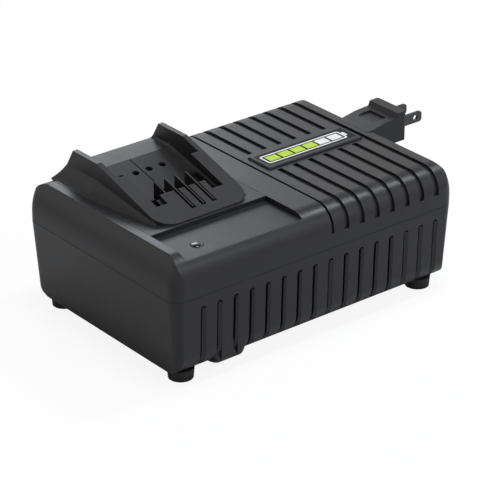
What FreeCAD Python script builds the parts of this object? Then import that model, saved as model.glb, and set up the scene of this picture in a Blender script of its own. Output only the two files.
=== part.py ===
# Mains battery charger for slide-on tool batteries.
# Millimetres, +Z up. The charger is drawn from its left end (x = 0), its front (y = 0)
# and the surface it stands on (z = 0); every finished piece is then moved so that the
# origin lies under the middle of the whole charger, plug blades included.
import FreeCAD, Part
import Sketcher
import os
import re

doc = FreeCAD.newDocument("battery_charger")
sheet = doc.addObject("Spreadsheet::Sheet", "size")

# Driving dimensions: name and value in millimetres, degrees or a count.
sizes = (
    # casing
    ("body_length", 193.0),
    ("body_width", 131.0),
    ("base_height", 6.0),
    ("seam_height", 51.0),
    ("top_height", 73.9),
    ("wall", 2.6),
    ("lower_end_lean", 4.0),
    ("upper_end_lean", 6.0),
    ("lower_side_lean", 1.2),
    ("end_knee_drop", 8.6),
    ("end_curve_radius", 29.0),
    ("corner_radius", 6.5),
    ("top_edge_radius", 13.0),
    ("bottom_edge_radius", 12.0),
    ("seam_gap", 0.1),
    ("fit", 0.15),
    # vent slots and top grooves
    ("slot_count", 16),
    ("slot_first", 18.4),
    ("slot_pitch", 10.74),
    ("slot_width", 3.4),
    ("slot_top", 45.0),
    ("slot_foot", 8.0),
    ("groove_depth", 1.5),
    ("groove_foot", 59.3),
    ("narrow_groove", 1.5),
    ("tab_left", 27.5),
    ("tab_length", 23.0),
    ("tab_front", 9.8),
    ("tab_depth", 6.0),
    # cradle insert and its indicator pocket
    ("cradle_left", 11.0),
    ("cradle_right", 88.0),
    ("cradle_end_gap", 5.5),
    ("cradle_depth", 5.4),
    ("rim_reach", 3.0),
    ("rim_thickness", 2.3),
    ("pocket_back", 34.8),
    ("pocket_depth", 2.8),
    # battery dock
    ("dock_middle", 50.0),
    ("dock_half_width", 30.2),
    ("dock_slope", 16.2),
    ("dock_front", 36.3),
    ("dock_toe_rise", 0.9),
    ("fin_height", 17.4),
    ("fin_top_back", 114.6),
    ("fin_foot_back", 124.9),
    ("dock_front_radius", 11.0),
    ("bay_half_width", 27.1),
    ("bay_floor_back", 105.0),
    ("bay_floor_rise", 7.2),
    ("bay_floor_slope", 13.0),
    ("bay_front", 58.9),
    ("bay_corner", 2.0),
    ("rail_inner_half_width", 22.1),
    ("rail_front", 48.0),
    ("rail_back", 79.0),
    ("rail_thickness", 2.8),
    ("flare_height", 15.0),
    ("flare_reach", 7.5),
    # terminals
    ("terminal_pitch", 6.9),
    ("terminal_count", 4),
    ("terminal_thickness", 0.8),
    ("terminal_front", 44.2),
    ("terminal_back", 69.0),
    ("terminal_height", 16.0),
    ("terminal_slot_width", 3.0),
    ("terminal_slot_front", 42.6),
    ("terminal_cover", 0.4),
    ("side_pocket_width", 7.2),
    ("side_pocket_front", 51.2),
    ("dock_skin", 2.6),
    ("block_half_width", 17.0),
    ("block_height", 15.9),
    # badge
    ("badge_left", 109.6),
    ("badge_right_gap", 16.0),
    ("badge_front", 58.6),
    ("badge_back", 77.0),
    ("badge_rise", 1.3),
    ("badge_bed_back", 81.5),
    ("inlay_margin", 2.2),
    ("inlay_depth", 0.5),
    # plug
    ("plug_middle", 74.45),
    ("plug_width", 24.3),
    ("plug_bottom", 61.9),
    ("plug_top", 79.7),
    ("plug_reach", 20.3),
    ("plug_flange", 6.1),
    ("plug_neck_rise", 2.8),
    ("plug_root", 8.0),
    ("blade_spacing", 12.7),
    ("blade_width", 6.35),
    ("blade_thickness", 1.5),
    ("blade_reach", 16.7),
    ("blade_root", 9.0),
    ("blade_height", 70.3),
    ("blade_hole_radius", 1.6),
    ("blade_hole_place", 11.9),
    # feet and screws
    ("foot_radius", 7.3),
    ("foot_inset", 13.3),
    ("foot_stem_radius", 2.4),
    ("foot_stem", 3.5),
    ("post_inset_x", 9.6),
    ("post_inset_y", 30.0),
    ("post_radius", 4.4),
    ("screw_radius", 1.4),
    ("screw_head_radius", 3.0),
    ("screw_head_height", 2.2),
    ("screw_sink", 10.0),
    ("screw_bite", 12.0),
    # electronics
    ("board_left", 24.0),
    ("board_right_gap", 23.0),
    ("board_front", 20.0),
    ("board_back_gap", 20.0),
    ("board_height", 16.0),
    ("board_thickness", 1.6),
    ("led_place_x", 26.9),
    ("led_place_y", 16.2),
    ("lens_radius", 3.6),
)
for row, (alias, number) in enumerate(sizes, start=1):
    sheet.set("A%d" % row, alias)
    sheet.set("B%d" % row, str(number))
    sheet.setAlias("B%d" % row, alias)
doc.recompute()


known = {alias for alias, number in sizes}


def linked(formula):
    """A formula in which each size is looked up in the sheet."""
    return re.sub("[a-z_]+", lambda word: ("size." if word.group() in known else "")
                  + word.group(), formula)


def mm(formula):
    """The present value of a formula in the sheet's sizes."""
    return float(sheet.evalExpression(linked(formula)))


def bind(thing, **formulas):
    """Ties properties of an object to formulas in the sheet's sizes."""
    for name, formula in formulas.items():
        thing.setExpression(name.replace("_base_", ".Base."), linked(formula))
    return thing


def origin_plane(body, role):
    """One of a body's own origin planes."""
    return [plane for plane in body.Origin.OriginFeatures if plane.Role == role][0]


def outline(body, name, role, corners, offset="0"):
    """A closed sketch on an origin plane, each corner held by two bound distances."""
    sketch = body.newObject("Sketcher::SketchObject", name)
    sketch.AttachmentSupport = (origin_plane(body, role), [""])
    sketch.MapMode = "FlatFace"
    sketch.setExpression("AttachmentOffset.Base.z", linked(offset))
    spots = [FreeCAD.Vector(mm(u), mm(v), 0) for u, v in corners]
    count = len(spots)
    for i in range(count):
        sketch.addGeometry(Part.LineSegment(spots[i], spots[(i + 1) % count]), False)
    for i in range(count):
        sketch.addConstraint(Sketcher.Constraint("Coincident", i, 2, (i + 1) % count, 1))
    for i, corner in enumerate(corners):
        for kind, formula, place in zip(("DistanceX", "DistanceY"), corner, spots[i]):
            index = sketch.addConstraint(Sketcher.Constraint(kind, -1, 1, i, 1, place))
            sketch.setExpression("Constraints[%d]" % index, linked(formula))
    return sketch


def prism(name, role, corners, start, length):
    """A body padded from a polygon: start and length run along the positive third axis."""
    body = doc.addObject("PartDesign::Body", name)
    backwards = role == "XZ_Plane"
    offset = "-(%s)" % start if backwards else start
    sketch = outline(body, name + "_outline", role, corners, offset)
    pad = body.newObject("PartDesign::Pad", name + "_pad")
    pad.Profile = sketch
    pad.Reversed = backwards
    pad.setExpression("Length", linked(length))
    body.Tip = pad
    doc.recompute()
    return body


def edge_names(shape, wanted):
    """Names of the edges that a test accepts."""
    return ["Edge%d" % (i + 1) for i, edge in enumerate(shape.Edges) if wanted(edge)]


def round_edges(body, wanted, radius, kind="Fillet"):
    """Adds a fillet or chamfer on the accepted edges of a body's present tip."""
    tip = body.Tip
    feature = body.newObject("PartDesign::" + kind, body.Name + "_" + kind.lower())
    feature.Base = (tip, edge_names(tip.Shape, wanted))
    feature.setExpression("Radius" if kind == "Fillet" else "Size", linked(radius))
    body.Tip = feature
    doc.recompute()
    return body


def along(axis, height=None, level=None):
    """A test for straight edges along an axis, at an optional place across it."""
    def wanted(edge):
        box = edge.BoundBox
        spans = {"x": box.XLength, "y": box.YLength, "z": box.ZLength}
        own = spans.pop(axis)
        if own < 0.5 or max(spans.values()) > 0.35 * own:
            return False
        if level is None:
            return True
        middle = {"x": box.Center.x, "y": box.Center.y, "z": box.Center.z}[level]
        return abs(middle - height) < 0.6
    return wanted


def box(name, x, y, z, length, width, height):
    """A block from its low corner, all six numbers bound."""
    block = doc.addObject("Part::Box", name)
    bind(block, Length=length, Width=width, Height=height)
    bind(block, Placement_base_x=x, Placement_base_y=y, Placement_base_z=z)
    return block


def rod(name, x, y, z, radius, height, axis="z"):
    """A cylinder from the centre of its low end, along z, x or y."""
    cylinder = doc.addObject("Part::Cylinder", name)
    bind(cylinder, Radius=radius, Height=height)
    turn = {"z": (0, 0, 1, 0), "x": (0, 1, 0, 90), "y": (1, 0, 0, -90)}[axis]
    cylinder.Placement.Rotation = FreeCAD.Rotation(FreeCAD.Vector(*turn[:3]), turn[3])
    bind(cylinder, Placement_base_x=x, Placement_base_y=y, Placement_base_z=z)
    return cylinder


def joined(name, parts):
    """Several shapes as one."""
    fuse = doc.addObject("Part::MultiFuse", name)
    fuse.Shapes = parts
    doc.recompute()
    return fuse


def less(name, base, tool):
    """A base with a tool cut from it."""
    cut = doc.addObject("Part::Cut", name)
    cut.Base = base
    cut.Tool = tool
    doc.recompute()
    return cut


def shared(name, first, second):
    """What two shapes have in common."""
    common = doc.addObject("Part::Common", name)
    common.Base = first
    common.Tool = second
    doc.recompute()
    return common


def group(name, parts):
    """Like pieces that stay separate solids in one node."""
    compound = doc.addObject("Part::Compound", name)
    compound.Links = parts
    doc.recompute()
    return compound


nodes = {}


def node(label, shape):
    """Names a finished piece and moves it into the charger's own frame."""
    if shape.TypeId in ("Part::Box", "Part::Cylinder", "Part::Torus"):
        # a plain primitive keeps its own place inside a one-piece group
        shape = group(label + "_piece", [shape])
    shape.Label = label
    shift_x = "-(body_length + plug_reach + blade_reach) / 2"
    bind(shape, Placement_base_x=shift_x, Placement_base_y="-body_width / 2")
    nodes[label] = shape
    return shape


# Casing forms.
# Each half is the overlap of a long profile with rounded edges and a plan that
# leans in at both ends, so one function gives the outside, the bottom of the
# grooves and the cavity, each at its own inset.
def lower_form(name, inset, floor_inset):
    low = "base_height + %s" % floor_inset
    high = "seam_height - seam_gap / 2"
    side = "%s + lower_side_lean" % inset
    profile = prism(name + "_profile", "YZ_Plane", (
        (side, low), ("body_width - (%s)" % side, low),
        ("body_width - %s" % inset, high), (inset, high)), "0", "body_length")
    round_edges(profile, along("x", mm(low), "z"), "bottom_edge_radius - %s" % inset)
    foot = "%s + lower_end_lean" % inset
    plan = prism(name + "_plan", "XZ_Plane", (
        (foot, low), ("body_length - (%s)" % foot, low),
        ("body_length - %s" % inset, high), (inset, high)), inset, "body_width - 2 * %s" % inset)
    round_edges(plan, along("z"), "corner_radius - %s" % inset)
    return shared(name, profile, plan)


def upright(edge):
    """The lower, vertical stretch of each of the four corners."""
    box_ = edge.BoundBox
    return max(box_.XLength, box_.YLength) < 0.01 and box_.ZLength > 1


def upper_form(name, inset):
    low = "seam_height + seam_gap / 2"
    high = "top_height - %s" % inset
    far_y = "body_width - %s" % inset
    profile = prism(name + "_profile", "YZ_Plane", (
        (inset, low), (far_y, low), (far_y, high), (inset, high)), "0", "body_length")
    round_edges(profile, along("x", mm(high), "z"), "top_edge_radius - %s" % inset)
    top = "(%s + upper_end_lean - 0.6 * %s)" % (inset, inset)
    knee = "top_height - end_knee_drop - 0.35 * %s" % inset
    plan = prism(name + "_plan", "XZ_Plane", (
        (inset, low), ("body_length - %s" % inset, low), ("body_length - %s" % inset, knee),
        ("body_length - %s" % top, high), (top, high), (inset, knee)),
        inset, "body_width - 2 * %s" % inset)
    round_edges(plan, along("y", mm(knee), "z"), "end_curve_radius - 3 * %s" % inset)
    round_edges(plan, upright, "corner_radius - %s" % inset)
    return shared(name, profile, plan)


lower_outside = lower_form("lower_outside", "0", "0")
lower_core = lower_form("lower_core", "groove_depth", "groove_depth")
lower_cavity = lower_form("lower_cavity", "wall", "wall")
upper_outside = upper_form("upper_outside", "0")
upper_core = upper_form("upper_core", "groove_depth")
upper_cavity = upper_form("upper_cavity", "wall")


# Vent slots: the same row on the long front and back walls.
# Two groups go right through the wall, the others are blind.
slot_total = int(mm("slot_count"))
open_slots = tuple(range(2, 8)) + tuple(range(9, 13))


def slot(name, index, width, start, depth):
    """A slot cutter with a round top, standing at one place of the row."""
    x = "slot_first + slot_pitch * %d" % index
    slab = box(name + "_slab", "%s - %s / 2" % (x, width), start, "slot_foot - wall * 2",
               width, depth, "slot_top - slot_foot - %s / 2 + wall * 2" % width)
    crown = rod(name + "_crown", x, start, "slot_top - %s / 2" % width, width + " / 2", depth, "y")
    return [slab, crown]


through = []
blind = []
for side, start in (("front", "-wall"), ("back", "body_width - wall * 2")):
    for index in range(slot_total):
        cutter = slot("%s_slot_%d" % (side, index + 1), index, "slot_width", start, "wall * 3")
        blind.extend(cutter)
        if index in open_slots:
            z = "slot_foot + wall * 2"
            through.append(box("%s_vent_%d" % (side, index + 1),
                               "slot_first + slot_pitch * %d - slot_width / 2" % index,
                               start, z, "slot_width", "wall * 3",
                               "slot_top - slot_foot - wall * 2 - slot_width / 2"))
slot_cutters = less("slot_cutters", joined("slot_rows", blind), lower_core)
vent_cutters = joined("vent_rows", through)

# Lower housing: a tray with foot bosses, screw posts and board posts.
corners = (("foot_inset", "foot_inset"), ("body_length - foot_inset", "foot_inset"),
           ("foot_inset", "body_width - foot_inset"),
           ("body_length - foot_inset", "body_width - foot_inset"))
posts = (("post_inset_x", "post_inset_y"), ("body_length - post_inset_x", "post_inset_y"),
         ("post_inset_x", "body_width - post_inset_y"),
         ("body_length - post_inset_x", "body_width - post_inset_y"))
board_holes = (("board_left + 5", "board_front + 5"),
               ("body_length - board_right_gap - 5", "board_front + 5"),
               ("board_left + 5", "body_width - board_back_gap - 5"),
               ("body_length - board_right_gap - 5", "body_width - board_back_gap - 5"))

tray = less("tray", lower_outside, lower_cavity)
tray_adds = [tray]
tray_cuts = [slot_cutters, vent_cutters]
for i, (x, y) in enumerate(corners):
    tray_adds.append(rod("foot_boss_%d" % i, x, y, "base_height", "foot_radius + 0.6",
                         "wall + foot_stem + 0.5"))
    tray_cuts.append(rod("foot_socket_%d" % i, x, y, "base_height - 1", "foot_stem_radius + fit / 2",
                         "foot_stem + fit + 1"))
for i, (x, y) in enumerate(posts):
    tray_adds.append(rod("lower_post_%d" % i, x, y, "base_height + 1", "post_radius",
                         "seam_height - seam_gap / 2 - base_height - 1"))
    tray_cuts.append(rod("screw_way_%d" % i, x, y, "0", "screw_radius + fit", "seam_height + 5"))
    tray_cuts.append(rod("head_way_%d" % i, x, y, "0", "screw_head_radius + fit",
                         "base_height + screw_sink"))
for i, (x, y) in enumerate(board_holes):
    tray_adds.append(rod("board_post_%d" % i, x, y, "base_height + 1", "3.2",
                         "board_height - base_height - 1"))
    tray_cuts.append(rod("board_pilot_%d" % i, x, y, "board_height - 6", "1.1", "10"))
tray_solid = joined("tray_solid", tray_adds)
lower = shared("tray_trimmed", tray_solid, lower_outside)
tab = box("front_tab", "tab_left", "tab_front", "base_height", "tab_length", "tab_depth", "tab_depth")
lower_cut = less("lower_cut", lower, joined("tray_cutters", tray_cuts))
node("lower_housing", joined("lower_housing", [lower_cut, less("front_tab_open", tab, lower_cavity)]))

# Upper housing: the grooves run over the top and down both long sides, apart
# from a bed left plain for the badge; a window takes the cradle insert.
groove_slabs = []
for index in range(8, slot_total):
    width = "narrow_groove" if index == 8 else "slot_width"
    x = "slot_first + slot_pitch * %d + slot_width / 2 - %s" % (index, width)
    groove_slabs.append(box("groove_%d" % (index - 7), x, "-1", "groove_foot", width,
                            "body_width + 2", "top_height - groove_foot + 1"))
badge_bed = box("badge_bed", "badge_left", "badge_front - 2", "seam_height",
                "body_length - badge_right_gap - badge_left", "badge_bed_back - badge_front + 2",
                "top_height - seam_height + 5")
groove_cutters = less("groove_row", joined("groove_slabs", groove_slabs), upper_core)
groove_cutters = less("groove_cutters", groove_cutters, badge_bed)

window = box("cradle_window", "cradle_left", "cradle_end_gap", "seam_height + 5",
             "cradle_right - cradle_left", "body_width - 2 * cradle_end_gap", "30")
lip_cut = box("lip_cut", "cradle_left", "-1", "top_height - pocket_depth",
              "cradle_right - cradle_left", "cradle_end_gap + 2", "10")
plug_notch = box("plug_notch", "body_length - upper_end_lean - wall - 2 * fit",
                 "plug_middle - plug_width / 2 - fit", "plug_bottom - fit",
                 "20", "plug_width + 2 * fit", "30")
lid = less("lid", upper_outside, upper_cavity)
lid_adds = [lid]
lid_cuts = [groove_cutters, window, lip_cut, plug_notch]
for i, (x, y) in enumerate(posts):
    lid_adds.append(rod("upper_post_%d" % i, x, y, "seam_height + seam_gap / 2", "post_radius",
                        "top_height - wall / 2 - seam_height"))
    lid_cuts.append(rod("screw_pilot_%d" % i, x, y, "seam_height - 1", "screw_radius + fit / 3",
                        "screw_bite + 2"))
lid_solid = shared("lid_trimmed", joined("lid_solid", lid_adds), upper_outside)
node("upper_housing", less("upper_housing", lid_solid, joined("lid_cutters", lid_cuts)))

# Cradle insert: plate, indicator pocket, wedge with two tall fins, battery bay
# with undercut rails, and the terminal slots in its apron.
slope = "tan(dock_slope * 1deg)"
deck_front_z = "top_height + dock_toe_rise"
fin_top = "top_height + fin_height"
fin_top_front = "dock_front + (fin_height - dock_toe_rise) / %s" % slope


def deck(y):
    """Height of the sloping dock deck at a distance from the front."""
    return "(%s + (%s - dock_front) * %s)" % (deck_front_z, y, slope)


def bay_floor(y):
    """Height of the bay floor at a distance from the front."""
    return "(top_height + bay_floor_rise - (bay_floor_back - %s) * tan(bay_floor_slope * 1deg))" % y


plate = prism("cradle_plate", "YZ_Plane", (
    ("cradle_end_gap + fit", "top_height - cradle_depth"),
    ("body_width - cradle_end_gap - fit", "top_height - cradle_depth"),
    ("body_width - cradle_end_gap - fit", "top_height + 2"),
    ("pocket_back", "top_height + 2"),
    ("pocket_back", "top_height - pocket_depth"),
    ("cradle_end_gap + fit", "top_height - pocket_depth")),
    "cradle_left + fit", "cradle_right - cradle_left - 2 * fit")
plate_shape = shared("cradle_plate_shape", plate, upper_outside)
rim = box("cradle_rim", "cradle_left - rim_reach", "top_edge_radius + 1", "top_height - cradle_depth",
          "cradle_right - cradle_left + 2 * rim_reach", "body_width - 2 * (top_edge_radius + 1)",
          "rim_thickness")

wedge = prism("dock_wedge", "YZ_Plane", (
    ("dock_front", "top_height - 2"), ("fin_foot_back", "top_height - 2"),
    ("fin_foot_back", "top_height"), ("fin_top_back", fin_top),
    (fin_top_front, fin_top), ("dock_front", deck_front_z)),
    "dock_middle - dock_half_width", "2 * dock_half_width")
flare_limit = prism("flare_limit", "YZ_Plane", (
    ("dock_front", "top_height - 2"), ("fin_foot_back", "top_height - 2"),
    ("fin_foot_back", "top_height"), ("fin_top_back", fin_top),
    (fin_top_front, fin_top), ("dock_front", deck_front_z)),
    "dock_middle - dock_half_width - flare_reach - 1", "2 * (dock_half_width + flare_reach + 1)")
round_edges(wedge, along("z", mm("dock_front"), "y"), "dock_front_radius")


def flare(name, sign):
    """The concave skirt that spreads a side of the wedge out onto the plate.

    It is lofted from a full section at the back to almost nothing at the toe.
    """
    skirt = doc.addObject("Part::Feature", name)
    root = mm("dock_middle") + sign * mm("dock_half_width")
    base = mm("top_height")
    inner = root - sign * mm("wall")
    wires = []
    for y, share in ((mm("fin_foot_back"), 1.0), (mm(fin_top_front), 1.0),
                     (mm("dock_front") + mm("dock_front_radius"), 0.24),
                     (mm("dock_front") + mm("dock_front_radius") * 0.55, 0.04)):
        tall = mm("flare_height") * share
        wide = mm("flare_reach") * share
        top = FreeCAD.Vector(root, y, base + tall)
        out = FreeCAD.Vector(root + sign * wide, y, base)
        middle = FreeCAD.Vector(root + sign * 0.22 * wide, y, base + 0.3 * tall)
        low_out = FreeCAD.Vector(root + sign * wide, y, base - 1)
        low_in = FreeCAD.Vector(inner, y, base - 1)
        high_in = FreeCAD.Vector(inner, y, base + tall)
        edges = [Part.Arc(top, middle, out).toShape()]
        path = (out, low_out, low_in, high_in, top)
        edges += [Part.makeLine(path[i], path[i + 1]) for i in range(len(path) - 1)]
        wires.append(Part.Wire(edges))
    skirt.Shape = Part.makeLoft(wires, True, True)
    return shared(name + "_trimmed", skirt, flare_limit)


bay = prism("bay_space", "YZ_Plane", (
    ("bay_front", bay_floor("bay_front")),
    ("bay_floor_back", "top_height + bay_floor_rise"),
    ("body_width + 5", "top_height + bay_floor_rise"),
    ("body_width + 5", "top_height + fin_height + 10"),
    ("bay_front", "top_height + fin_height + 10")),
    "dock_middle - bay_half_width", "2 * bay_half_width")
floor_edges = along("y")


def bay_bottom(edge):
    """The long bottom edges of the bay, at its two sides."""
    box_ = edge.BoundBox
    lies_low = box_.ZMax < mm("top_height + bay_floor_rise") + 0.1
    return floor_edges(edge) and lies_low and box_.XLength < 0.01


round_edges(bay, bay_bottom, "bay_corner")

rail_strips = []
for tag, x in (("left", "dock_middle - bay_half_width - 1"),
               ("right", "dock_middle + rail_inner_half_width")):
    rail_strips.append(prism("rail_" + tag, "YZ_Plane", (
        ("bay_front - 5", deck("(bay_front - 5)") + " - rail_thickness"),
        ("rail_back", deck("rail_back") + " - rail_thickness"),
        ("rail_back", deck("rail_back") + " + 3"),
        ("bay_front - 5", deck("(bay_front - 5)") + " + 3")),
        x, "bay_half_width - rail_inner_half_width + 1"))
bay_cut = less("bay_cut", bay, joined("rails", rail_strips))

# the undercuts run on under the apron, beside the side pockets
side_ways = []
for tag, x in (("left", "dock_middle - bay_half_width"),
               ("right", "dock_middle + rail_inner_half_width")):
    side_ways.append(prism("rail_way_" + tag, "YZ_Plane", (
        ("rail_front", deck("rail_front") + " - rail_thickness - 5"),
        ("bay_front + 1", deck("(bay_front + 1)") + " - rail_thickness - 5"),
        ("bay_front + 1", deck("(bay_front + 1)") + " - rail_thickness"),
        ("rail_front", deck("rail_front") + " - rail_thickness")),
        x, "bay_half_width - rail_inner_half_width"))
for tag, x in (("left", "dock_middle - rail_inner_half_width"),
               ("right", "dock_middle + rail_inner_half_width - side_pocket_width")):
    side_ways.append(prism("side_pocket_" + tag, "YZ_Plane", (
        ("side_pocket_front", bay_floor("side_pocket_front")),
        ("bay_front + 1", bay_floor("(bay_front + 1)")),
        ("bay_front + 1", "top_height + 20"), ("side_pocket_front", "top_height + 20")),
        x, "side_pocket_width"))

terminal_total = int(mm("terminal_count"))
terminal_x = ["dock_middle + terminal_pitch * %s" % (i - (terminal_total - 1) / 2)
              for i in range(terminal_total)]
slots = []
for i, x in enumerate(terminal_x):
    # the first terminal ends behind the apron, the others stand in slots
    if i > 0:
        slots.append(box("terminal_slot_%d" % i, "%s - terminal_slot_width + 0.8" % x,
                         "terminal_slot_front", "top_height - dock_skin - 8",
                         "terminal_slot_width", "bay_front - terminal_slot_front + 1", "20"))

# the wedge is hollow from below, under the bay floor and behind the apron
under_apron = prism("under_apron", "YZ_Plane", (
    ("dock_front + 4", "top_height - cradle_depth - 1"), ("bay_front + 0.01", "top_height - cradle_depth - 1"),
    ("bay_front + 0.01", deck("bay_front") + " - dock_skin"),
    ("dock_front + 4", deck("(dock_front + 4)") + " - dock_skin")),
    "dock_middle - block_half_width - fit", "2 * (block_half_width + fit)")
under_floor = prism("under_floor", "YZ_Plane", (
    ("bay_front + 2", "top_height - cradle_depth - 1"), ("fin_top_back", "top_height - cradle_depth - 1"),
    ("fin_top_back", "top_height + bay_floor_rise - dock_skin"),
    ("bay_floor_back", "top_height + bay_floor_rise - dock_skin"),
    ("bay_front + 12", bay_floor("(bay_front + 12)") + " - dock_skin * 0.8"),
    ("bay_front + 2", bay_floor("(bay_front + 2)") + " - dock_skin * 0.8")),
    "dock_middle - bay_half_width", "2 * bay_half_width")
latch_holes = []
for i in range(4):
    latch_holes.append(rod("floor_hole_%d" % i, "dock_middle + 8.95 * %s" % (i - 1.5),
                           "bay_floor_back - 11.8", "top_height - 1", "2", "12"))
seam_line = prism("floor_line", "YZ_Plane", (
    ("bay_front + 9", bay_floor("(bay_front + 9)") + " - 0.5"),
    ("bay_floor_back", bay_floor("bay_floor_back") + " - 0.5"),
    ("bay_floor_back", bay_floor("bay_floor_back") + " + 1"),
    ("bay_front + 9", bay_floor("(bay_front + 9)") + " + 1")), "dock_middle - 0.3", "0.6")
throat = box("bay_throat", "dock_middle - rail_inner_half_width", "bay_front - 0.5",
             "top_height - cradle_depth - 1", "2 * rail_inner_half_width",
             "terminal_back - bay_front + 1", "30")
lens_way = rod("lens_way", "led_place_x", "led_place_y", "top_height - cradle_depth - 1",
               "lens_radius + fit / 2", "10")

cradle_solid = joined("cradle_solid", [plate_shape, rim, wedge, flare("left_flare", -1),
                                       flare("right_flare", 1)])
cradle_cuts = joined("cradle_cuts", [bay_cut, throat, under_apron, under_floor, seam_line, lens_way]
                     + side_ways + slots + latch_holes)
node("dock_cradle", less("dock_cradle", cradle_solid, cradle_cuts))

# Terminal block: the insulating carrier under the apron, slit for the blades.
block = prism("block_body", "YZ_Plane", (
    ("dock_front + 4 + fit", "top_height - block_height"), ("bay_front - 0.3", "top_height - block_height"),
    ("bay_front - 0.3", deck("bay_front") + " - dock_skin - fit"),
    ("dock_front + 4 + fit", deck("(dock_front + 4)") + " - dock_skin - fit")),
    "dock_middle - block_half_width", "2 * block_half_width")
blade_cutters = []
for i, x in enumerate(terminal_x):
    blade_cutters.append(box("blade_way_%d" % i, "%s - terminal_thickness / 2 - 0.05" % x,
                             "terminal_front - 0.05", "top_height - block_height - 1",
                             "terminal_thickness + 0.1", "terminal_back", "40"))
node("terminal_block", less("terminal_block", block, joined("blade_ways", blade_cutters)))

# Terminals: thin upright blades whose top edges follow the deck.
terminal_names = ("terminal_negative", "terminal_signal", "terminal_thermistor", "terminal_positive")
for i, x in enumerate(terminal_x):
    front = "bay_front - 3" if i == 0 else "terminal_front"
    blade = prism(terminal_names[i] + "_sheet", "YZ_Plane", (
        (front, "top_height - block_height + 1"), ("bay_front - 1.5", "top_height - block_height + 1"),
        ("bay_front - 1.5", bay_floor("terminal_back") + " + 1.2"),
        ("terminal_back", bay_floor("terminal_back") + " + 1.2"),
        ("terminal_back", deck("terminal_back") + " - terminal_cover"),
        (front, deck("(%s)" % front) + " - terminal_cover")),
        "%s - terminal_thickness / 2" % x, "terminal_thickness")
    node(terminal_names[i], blade)

# Badge: a low plate with bevelled edges, and a thin inlay let into it.
badge = prism("badge_plate_body", "XY_Plane", (
    ("badge_left + fit", "badge_front"), ("body_length - badge_right_gap - fit", "badge_front"),
    ("body_length - badge_right_gap - fit", "badge_back"), ("badge_left + fit", "badge_back")),
    "top_height", "badge_rise")
top_of_badge = mm("top_height + badge_rise")
round_edges(badge, lambda e: e.BoundBox.ZMin > top_of_badge - 0.05, "badge_rise * 0.55", "Chamfer")
recess = box("inlay_recess", "badge_left + inlay_margin", "badge_front + inlay_margin",
             "top_height + badge_rise - inlay_depth",
             "body_length - badge_right_gap - badge_left - 2 * inlay_margin",
             "badge_back - badge_front - 2 * inlay_margin", "5")
node("badge_plate", less("badge_plate", badge, recess))
node("badge_inlay", box("badge_inlay_sheet", "badge_left + inlay_margin + 0.1",
                        "badge_front + inlay_margin + 0.1",
                        "top_height + badge_rise - inlay_depth",
                        "body_length - badge_right_gap - badge_left - 2 * inlay_margin - 0.2",
                        "badge_back - badge_front - 2 * inlay_margin - 0.2", "inlay_depth * 0.8"))

# Plug: a rigid moulded neck in the right end wall, with a raised flange round
# two flat blades.
face = "body_length + plug_reach"
neck_left = "body_length - upper_end_lean - wall - fit"
plug = prism("plug_form", "XZ_Plane", (
    (neck_left, "plug_bottom"), (face, "plug_bottom"), (face, "plug_top"),
    (face + " - plug_flange", "plug_top - 0.2"),
    (face + " - plug_flange - 1.2", "top_height + plug_neck_rise"),
    (neck_left + " + 12", "top_height + plug_neck_rise - 0.6"),
    (neck_left, "top_height")),
    "plug_middle - plug_width / 2", "plug_width")
far_x = mm(face)
round_edges(plug, along("z", far_x, "x"), "1.4")
inner_flange = box("plug_inner_flange", neck_left + " - 3", "plug_middle - plug_width / 2 - 3",
                   "plug_bottom - 3", "3", "plug_width + 6", "top_height - wall - plug_bottom + 2.5")
neck_link = box("plug_neck_link", neck_left + " - 3", "plug_middle - plug_width / 2",
                "plug_bottom", "4", "plug_width", "top_height - wall - plug_bottom - 0.6")
grip = box("plug_grip_recess", neck_left + " + 9.5", "plug_middle - 7",
           "top_height + plug_neck_rise - 1.4", "9", "14", "5")
blade_rows = (("plug_blade_line", "plug_middle - blade_spacing / 2"),
              ("plug_blade_neutral", "plug_middle + blade_spacing / 2"))
plug_cuts = [grip]
for name, y in blade_rows:
    plug_cuts.append(box(name + "_way", face + " - blade_root - 0.05",
                         "%s - blade_thickness / 2 - 0.03" % y,
                         "blade_height - blade_width / 2 - 0.03", "blade_root + 1",
                         "blade_thickness + 0.06", "blade_width + 0.06"))
node("plug_body", less("plug_body", joined("plug_solid", [plug, inner_flange, neck_link]),
                       joined("plug_cuts", plug_cuts)))
for name, y in blade_rows:
    start = face + " - blade_root"
    blade = prism(name + "_strip", "XZ_Plane", (
        (start, "blade_height - blade_width / 2"),
        (face + " + blade_reach", "blade_height - blade_width / 2"),
        (face + " + blade_reach", "blade_height + blade_width / 2"),
        (start, "blade_height + blade_width / 2")), "%s - blade_thickness / 2" % y,
        "blade_thickness")
    tip_x = mm(face + " + blade_reach")
    round_edges(blade, along("y", tip_x, "x"), "1.9")
    hole = rod(name + "_hole", face + " + blade_hole_place", "%s - 2" % y, "blade_height",
               "blade_hole_radius", "4", "y")
    node(name, less(name, blade, hole))

# Feet: soft pads with a stem pressed into the housing.
foot_names = ("foot_front_left", "foot_front_right", "foot_back_left", "foot_back_right")
for name, (x, y) in zip(foot_names, corners):
    pad = doc.addObject("Part::Cone", name + "_pad")
    bind(pad, Radius1="foot_radius - 0.5", Radius2="foot_radius", Height="base_height")
    bind(pad, Placement_base_x=x, Placement_base_y=y)
    stem = rod(name + "_stem", x, y, "base_height - 0.5", "foot_stem_radius", "foot_stem + 0.5")
    node(name, joined(name, [pad, stem]))

# Housing screws: pan heads deep in the lower posts, threads in the upper posts.
screws = []
for i, (x, y) in enumerate(posts):
    head = rod("screw_head_%d" % i, x, y, "base_height + screw_sink - screw_head_height",
               "screw_head_radius", "screw_head_height")
    shank = rod("screw_shank_%d" % i, x, y, "base_height + screw_sink - 0.5", "screw_radius",
                "seam_height - base_height - screw_sink + screw_bite + 0.5")
    screws.append(joined("housing_screw_%d" % i, [head, shank]))
node("housing_screws", group("housing_screws", screws))

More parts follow.
